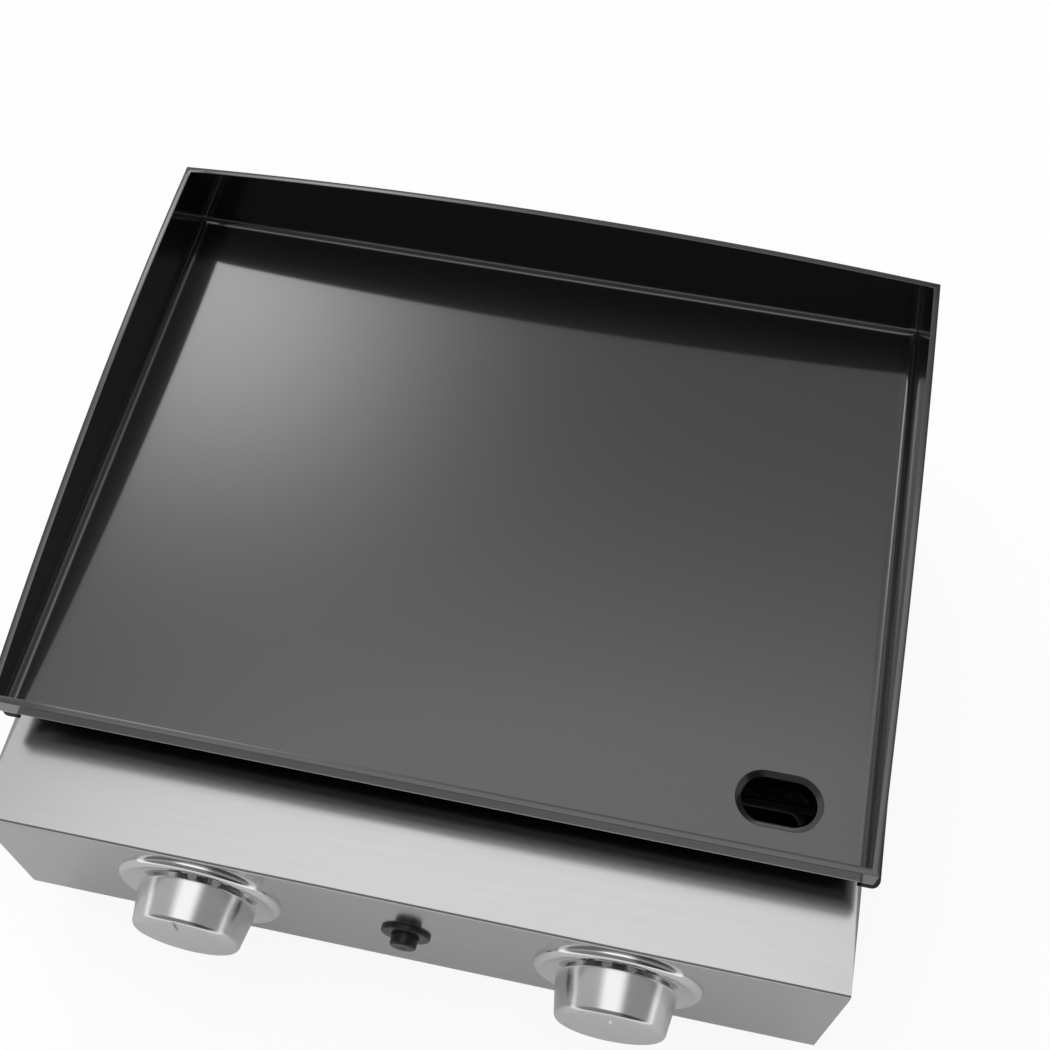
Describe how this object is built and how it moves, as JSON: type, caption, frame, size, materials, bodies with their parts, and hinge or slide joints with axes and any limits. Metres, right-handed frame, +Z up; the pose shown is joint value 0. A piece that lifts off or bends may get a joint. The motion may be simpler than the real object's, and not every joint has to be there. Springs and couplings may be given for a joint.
{
  "type": "table-top gas griddle",
  "caption": "Table-top gas griddle: folded black cooking plate with drain and grease cup on a stainless and black casing with knobs, burners and gas inlet.",
  "frame": {"origin": "on the table, under the middle of the whole part", "axes": "+X to the right seen from the front, -Y towards the user and the knobs, +Z up"},
  "size_m": [0.454, 0.4278, 0.1995],
  "materials": {
    "plate": "satin black seasoned steel",
    "stainless": "horizontally brushed stainless sheet",
    "black_paint": "semi-gloss black powder coat",
    "chrome": "bright plated",
    "knob_metal": "satin machined metal",
    "burner_steel": "plain stainless tube",
    "galvanised": "galvanised sheet",
    "zinc": "zinc plated",
    "brass": "machined brass",
    "rubber": "matte black rubber",
    "plastic": "black plastic",
    "ceramic": "glazed ceramic",
    "lead_sheath": "silicone lead"
  },
  "bodies": {
    "casing": {"stud_rests": "black_paint", "control_panel": "stainless", "side_panel_left": "black_paint", "side_panel_right": "black_paint", "back_panel": "black_paint", "bottom_tray": "black_paint", "heat_baffle": "galvanised", "cup_hanger": "black_paint", "bezel_left": "chrome", "bezel_right": "chrome", "valve_left": "brass", "valve_right": "brass", "gas_jets": "brass", "gas_manifold": "zinc", "manifold_plug": "zinc", "manifold_brackets": "galvanised", "supply_tube": "burner_steel", "tube_nuts": "brass", "inlet_fitting": "brass", "inlet_locknut": "brass", "burner_left": "burner_steel", "burner_right": "burner_steel", "air_shutters": "galvanised", "burner_brackets": "galvanised", "crossover_channel": "burner_steel", "igniter_body": "plastic", "igniter_nut": "plastic", "ignition_leads": "lead_sheath", "electrode_insulators": "ceramic", "electrode_rods": "zinc", "rubber_feet": "rubber", "foot_screws": "zinc", "foot_nuts": "zinc", "panel_screws": "zinc", "back_screws": "zinc", "tray_screws": "zinc", "baffle_screws": "zinc", "bracket_screws": "zinc", "hanger_screws": "zinc", "valve_screws": "zinc"},
    "plate": {"griddle_plate": "plate", "drain_spout": "plate", "plate_stiffeners": "plate", "locating_studs": "zinc"},
    "cup": {"grease_cup": "black_paint"},
    "left_knob_push": {"stem_washer_left": "zinc"},
    "right_knob_push": {"stem_washer_right": "zinc"},
    "left_knob": {"knob_left": "knob_metal", "valve_stem_left": "zinc"},
    "right_knob": {"knob_right": "knob_metal", "valve_stem_right": "zinc"},
    "igniter_push": {"igniter_button": "plastic"}
  },
  "joints": [
    {"name": "plate_lift", "type": "slide", "parent": "casing", "child": "plate", "axis": [0, 0, 1], "range_m": [0, 0.1]},
    {"name": "cup_slide", "type": "slide", "parent": "casing", "child": "cup", "axis": [1, 0, 0], "range_m": [0, 0.1]},
    {"name": "left_knob_press", "type": "slide", "parent": "casing", "child": "left_knob_push", "axis": [0, 0.9994, -0.0349], "range_m": [0, 0.0025], "stiffness_N_per_m": 1500, "springref_m": -0.003},
    {"name": "left_knob_turn", "type": "hinge", "parent": "left_knob_push", "child": "left_knob", "pos_m": [-0.11, -0.18632, 0.08], "axis": [0, -0.9994, 0.0349], "range_deg": [0, 180]},
    {"name": "right_knob_press", "type": "slide", "parent": "casing", "child": "right_knob_push", "axis": [0, 0.9994, -0.0349], "range_m": [0, 0.0025], "stiffness_N_per_m": 1500, "springref_m": -0.003},
    {"name": "right_knob_turn", "type": "hinge", "parent": "right_knob_push", "child": "right_knob", "pos_m": [0.11, -0.18632, 0.08], "axis": [0, -0.9994, 0.0349], "range_deg": [0, 180]},
    {"name": "igniter_press", "type": "slide", "parent": "casing", "child": "igniter_push", "axis": [0, 0.9994, -0.0349], "range_m": [0, 0.005], "stiffness_N_per_m": 800, "springref_m": -0.003}
  ]
}
